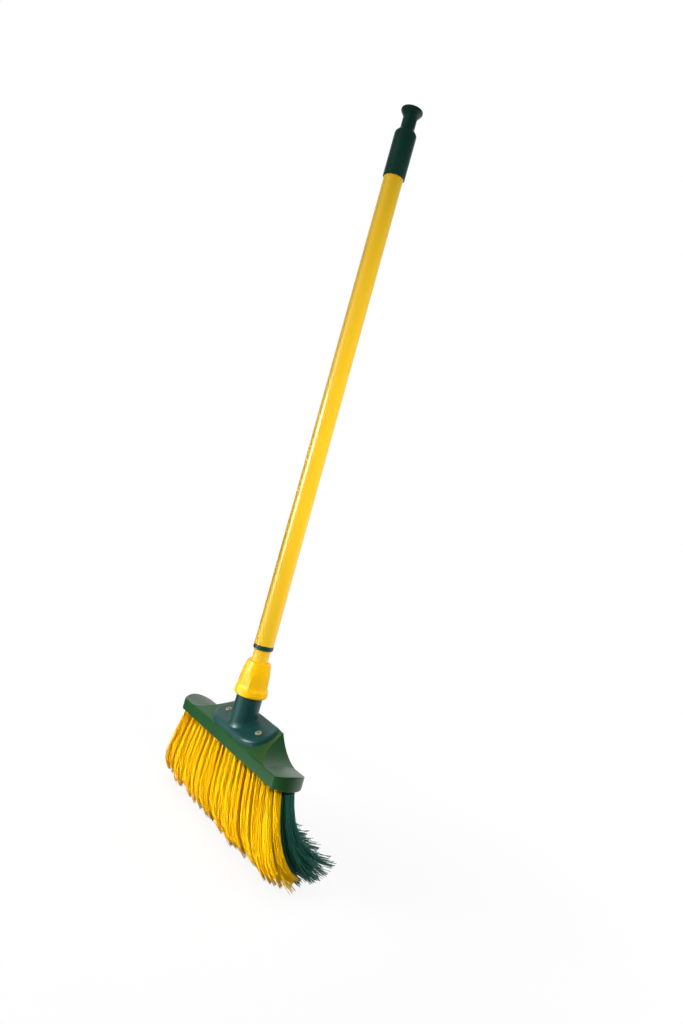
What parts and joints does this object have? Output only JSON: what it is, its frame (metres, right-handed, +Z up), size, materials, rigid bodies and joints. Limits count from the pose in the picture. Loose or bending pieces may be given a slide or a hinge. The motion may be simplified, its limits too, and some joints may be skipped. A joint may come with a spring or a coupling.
{
  "type": "stable broom",
  "caption": "Telescopic stable broom: tubular handle with hang grip and twist lock, clamp nut, bolted-on socket and a moulded block with flared two-tone bristles.",
  "frame": {"origin": "middle of the grip's barrel, on the handle's axis", "axes": "+Z up along the handle towards the knob, X along the block, -Y to the front with the yellow tufts"},
  "size_m": [0.3391, 0.0989, 0.9701],
  "materials": {
    "grip_plastic": "moulded, satin",
    "tube_paint": "gloss powder coat",
    "ring_plastic": "moulded, satin",
    "lock_plastic": "moulded, plain",
    "clamp_plastic": "moulded, plain",
    "nut_plastic": "moulded, glossy",
    "socket_plastic": "moulded, satin gloss",
    "screw_metal": "zinc plated",
    "block_plastic": "moulded, satin gloss",
    "yellow_bristle": "drawn filament",
    "green_bristle": "drawn filament",
    "staple_wire": "flat wire"
  },
  "bodies": {
    "handle": {"grip": "grip_plastic", "outer_tube": "tube_paint", "end_ring": "ring_plastic"},
    "lock": {"lock_sleeve": "lock_plastic"},
    "wedge": {"wedge_nut": "lock_plastic"},
    "inner": {"inner_tube": "tube_paint", "lock_spindle": "lock_plastic", "stop_cap": "lock_plastic"},
    "head": {"socket": "socket_plastic", "socket_screws": "screw_metal", "block": "block_plastic", "yellow_row_1": "yellow_bristle", "yellow_row_2": "yellow_bristle", "green_row_1": "green_bristle", "green_row_2": "green_bristle", "green_row_3": "green_bristle", "tuft_staples": "staple_wire"},
    "clamp": {"clamp_ring": "clamp_plastic"},
    "nut": {"locking_nut": "nut_plastic"}
  },
  "joints": [
    {"name": "telescope", "type": "slide", "parent": "handle", "child": "lock", "axis": [0, 0, -1], "range_m": [0, 0.5]},
    {"name": "twist_lock", "type": "hinge", "parent": "lock", "child": "inner", "pos_m": [0, 0, -0.05], "axis": [0, 0, 1], "range_deg": [0, 180]},
    {"name": "wedge_draw", "type": "slide", "parent": "lock", "child": "wedge", "axis": [0, 0, 1], "range_m": [0, 0.001]},
    {"name": "head_pull", "type": "slide", "parent": "inner", "child": "head", "axis": [0, 0, -1], "range_m": [0, 0.045]},
    {"name": "clamp_travel", "type": "slide", "parent": "head", "child": "clamp", "axis": [0, 0, 1], "range_m": [0, 0.0045]},
    {"name": "nut_turn", "type": "hinge", "parent": "clamp", "child": "nut", "pos_m": [0, 0, -0.705], "axis": [0, 0, 1], "range_deg": [0, 540]}
  ],
  "couplings": [
    {"joint": "wedge_draw", "follows": "twist_lock", "m_per_rad": 0.0003183},
    {"joint": "clamp_travel", "follows": "nut_turn", "m_per_rad": 0.00047746}
  ]
}
